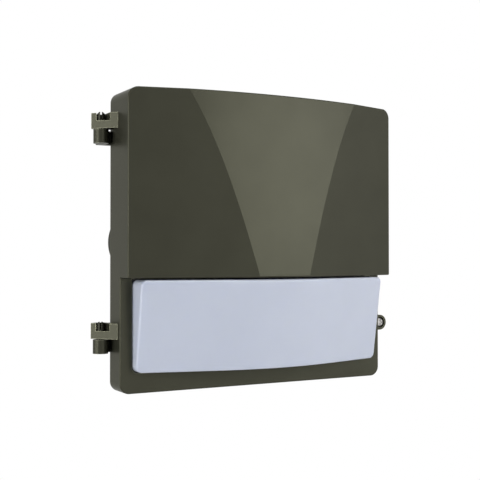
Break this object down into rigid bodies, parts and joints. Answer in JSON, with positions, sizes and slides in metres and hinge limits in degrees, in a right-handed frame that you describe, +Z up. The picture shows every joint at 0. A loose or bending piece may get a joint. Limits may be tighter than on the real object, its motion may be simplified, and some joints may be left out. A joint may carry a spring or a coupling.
{
  "type": "wall pack light",
  "caption": "Full cut-off wall pack light: a back box for the wall, and a hinged door with a faceted hood over a vaulted opal lens.",
  "frame": {"origin": "centre of the rear wire entry in the wall plane, at the middle of the back box's rear face", "axes": "+Z up, -Y towards the front of the light, +Y into the wall, +X to the right seen from the front"},
  "size_m": [0.2909, 0.11, 0.249],
  "materials": {
    "bronze_casting": "die cast, dark bronze powder coat, fine satin texture",
    "bronze_plug": "dark bronze powder coat",
    "bronze_pin": "dark bronze coated steel",
    "black_rubber": "moulded rubber",
    "grey_silicone": "soft silicone",
    "sheet_steel": "zinc plated sheet",
    "driver_shell": "white enamel on aluminium",
    "steel_screw": "zinc plated",
    "bright_screw": "bright stainless",
    "cream_plastic": "moulded nylon",
    "brass_washer": "plain brass",
    "green_screw": "green plated",
    "opal_lens": "opal polycarbonate, satin",
    "bare_aluminium": "mill finish sheet",
    "white_reflector": "white moulded",
    "thermal_pad": "grey pad",
    "white_board": "white solder mask on aluminium",
    "yellow_chip": "phosphor",
    "white_nylon": "natural nylon"
  },
  "bodies": {
    "root": {"back_box": "bronze_casting", "conduit_plugs": "bronze_plug", "plug_gaskets": "black_rubber", "led_driver_base": "sheet_steel", "led_driver_case": "driver_shell", "driver_screws": "steel_screw", "terminal_block": "cream_plastic", "terminal_clamp_screws": "steel_screw", "terminal_fixing_screws": "steel_screw", "ground_washer": "brass_washer", "ground_screw": "green_screw"},
    "door": {"door": "bronze_casting", "door_gasket": "grey_silicone", "hinge_pin_upper": "bronze_pin", "hinge_pin_lower": "bronze_pin", "lens": "opal_lens", "lens_gasket": "black_rubber", "led_tray": "bare_aluminium", "tray_screws": "steel_screw", "reflector": "white_reflector", "thermal_pad": "thermal_pad", "led_board": "white_board", "led_chips": "yellow_chip", "board_screws": "steel_screw", "board_connector": "cream_plastic"},
    "washer_upper": {"closure_washer_upper": "white_nylon"},
    "screw_upper": {"closure_screw_upper": "bright_screw"},
    "washer_lower": {"closure_washer_lower": "white_nylon"},
    "screw_lower": {"closure_screw_lower": "bright_screw"}
  },
  "joints": [
    {"name": "door_hinge", "type": "hinge", "parent": "root", "child": "door", "pos_m": [-0.1393, -0.0446, 0], "axis": [0, 0, -1], "range_deg": [0, 115]},
    {"name": "closure_travel_upper", "type": "slide", "parent": "door", "child": "washer_upper", "axis": [0, -1, 0], "range_m": [0, 0.0075]},
    {"name": "closure_turn_upper", "type": "hinge", "parent": "washer_upper", "child": "screw_upper", "pos_m": [0.1369, -0.0556, 0.0925], "axis": [0, -1, 0], "range_deg": [0, 3375]},
    {"name": "closure_travel_lower", "type": "slide", "parent": "door", "child": "washer_lower", "axis": [0, -1, 0], "range_m": [0, 0.0075]},
    {"name": "closure_turn_lower", "type": "hinge", "parent": "washer_lower", "child": "screw_lower", "pos_m": [0.1369, -0.0556, -0.0752], "axis": [0, -1, 0], "range_deg": [0, 3375]}
  ],
  "couplings": [
    {"joint": "closure_turn_upper", "follows": "closure_travel_upper", "rad_per_m": 7854},
    {"joint": "closure_turn_lower", "follows": "closure_travel_lower", "rad_per_m": 7854}
  ]
}
